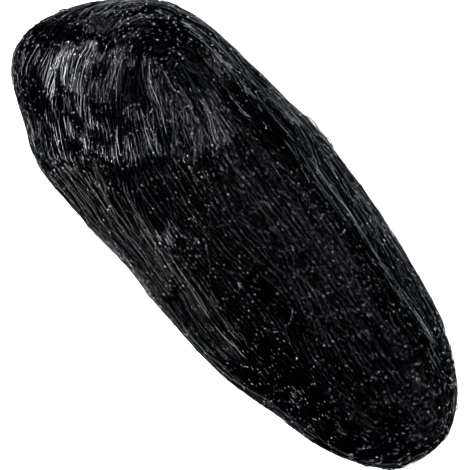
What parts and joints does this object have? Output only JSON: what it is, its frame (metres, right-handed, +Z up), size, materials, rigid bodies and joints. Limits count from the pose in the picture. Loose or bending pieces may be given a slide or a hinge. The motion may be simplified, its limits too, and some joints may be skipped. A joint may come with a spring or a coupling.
{
  "type": "bird netting",
  "caption": "Long loaf-shaped hank of fine black plastic bird netting, gathered into a loose rope and wound round on itself, resting on one flattened side.",
  "frame": {"origin": "on the flat spot's plane, under the middle of the hank's box", "axes": "+X along the hank from its blunt end to its narrow end, +Y across it, +Z up out of the surface that it rests on"},
  "size_m": [0.441, 0.1784, 0.115],
  "materials": {
    "netting": "black plastic mesh strands, glossy where single strands and knots catch the light"
  },
  "bodies": {
    "root": {"netting_hank": "netting"}
  },
  "joints": []
}
